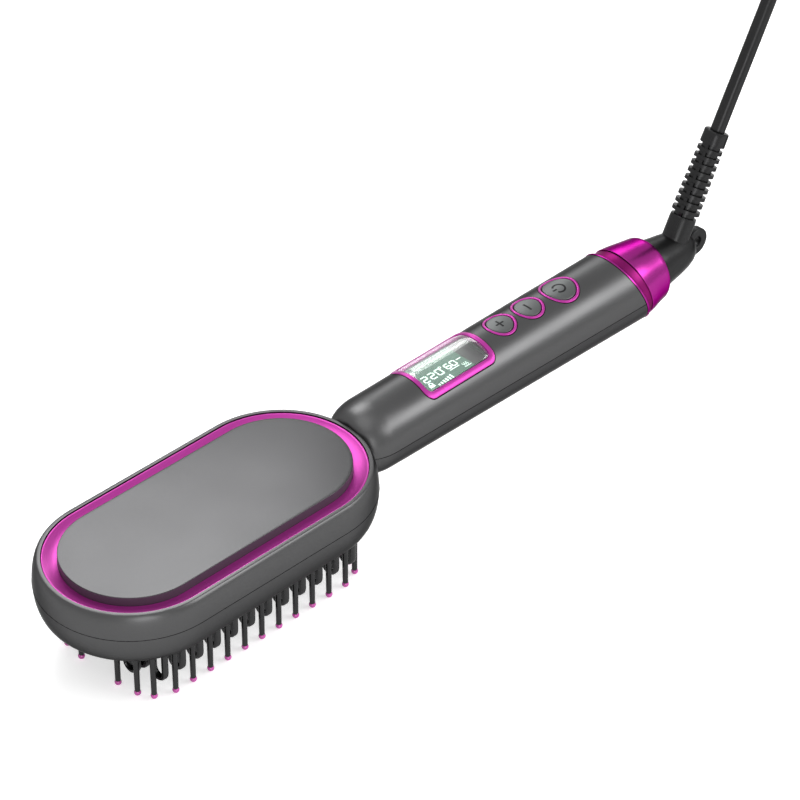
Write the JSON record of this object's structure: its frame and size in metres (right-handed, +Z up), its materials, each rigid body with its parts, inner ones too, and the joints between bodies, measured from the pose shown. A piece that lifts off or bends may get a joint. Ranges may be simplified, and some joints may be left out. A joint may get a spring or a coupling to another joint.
{
  "type": "hair straightener brush",
  "caption": "Heated hair straightening brush: oval comb head with guard loops and ball-tipped pins, round handle with display and buttons, swivelling mains lead.",
  "frame": {"origin": "middle of the brush's length and width without the free cord, on the plane of the guide pins' tips", "axes": "+X from the head along the handle towards the lead, +Z up from the pin tips to the back plate, +Y across"},
  "size_m": [0.4659, 0.0921, 0.136],
  "materials": {
    "shell": "satin",
    "accent": "gloss",
    "plate": "satin anodised",
    "comb": "matte",
    "pins": "satin",
    "tips": "satin",
    "heater": "as cast",
    "screw_steel": "zinc plated",
    "ceramic_heater": "wrapped in film",
    "mica": "sheet",
    "spring_steel": "pressed",
    "black_part": "moulded",
    "fuse_body": "glazed",
    "pale_wire": "sleeved",
    "red_wire": "insulated",
    "lens": "clear",
    "screen": "backlit green",
    "module_black": "moulded",
    "white_part": "moulded",
    "board": "solder mask",
    "key_grey": "satin",
    "yellow_tape": "taped",
    "can_blue": "sleeved",
    "blue_wire": "insulated",
    "brass": "plated",
    "black_plastic": "satin",
    "cord_black": "matte",
    "tie_black": "matte",
    "plug_black": "moulded",
    "pin_nickel": "nickel plated"
  },
  "bodies": {
    "brush": {"upper_shell": "shell", "lower_shell": "shell", "accent_ring": "accent", "back_plate": "plate", "comb_plate": "comb", "guide_pins": "pins", "pin_tips": "tips", "heating_plate": "heater", "plate_screws": "screw_steel", "ptc_heaters": "ceramic_heater", "mica_sheet": "mica", "heater_clamp": "spring_steel", "clamp_screws": "screw_steel", "thermistor": "black_part", "thermal_fuse": "fuse_body", "heater_wires": "pale_wire", "sensor_wires": "red_wire", "shell_screws": "screw_steel", "display_frame": "accent", "display_lens": "lens", "display_screen": "screen", "lcd_module": "module_black", "lcd_holder": "white_part", "control_board": "board", "control_chip": "black_part", "tact_switches": "black_part", "button_rings": "accent", "power_board": "board", "transformer": "yellow_tape", "mains_capacitor": "can_blue", "triac": "black_part", "board_fuse": "fuse_body", "mains_wires": "blue_wire", "collar": "accent", "contact_carrier": "white_part", "contact_pins": "brass", "cord_lead": "cord_black", "cord_coil": "cord_black", "cord_tie": "tie_black", "plug_body": "plug_black", "plug_pins": "pin_nickel"},
    "cord_swivel": {"swivel_body": "black_plastic", "swivel_clip": "spring_steel", "slip_rings": "brass", "strain_relief": "cord_black", "cable_core": "cord_black"},
    "plus_key": {"plus_button": "key_grey"},
    "minus_key": {"minus_button": "key_grey"},
    "power_key": {"power_button": "key_grey"}
  },
  "joints": [
    {"name": "swivel_turn", "type": "hinge", "parent": "brush", "child": "cord_swivel", "pos_m": [0.11372, 0, 0.0311], "axis": [1, 0, 0], "continuous": true},
    {"name": "plus_press", "type": "slide", "parent": "brush", "child": "plus_key", "axis": [0, 0, -1], "range_m": [0, 0.0005], "stiffness_N_per_m": 900, "springref_m": -0.0005},
    {"name": "minus_press", "type": "slide", "parent": "brush", "child": "minus_key", "axis": [0, 0, -1], "range_m": [0, 0.0005], "stiffness_N_per_m": 900, "springref_m": -0.0005},
    {"name": "power_press", "type": "slide", "parent": "brush", "child": "power_key", "axis": [0, 0, -1], "range_m": [0, 0.0005], "stiffness_N_per_m": 900, "springref_m": -0.0005}
  ]
}
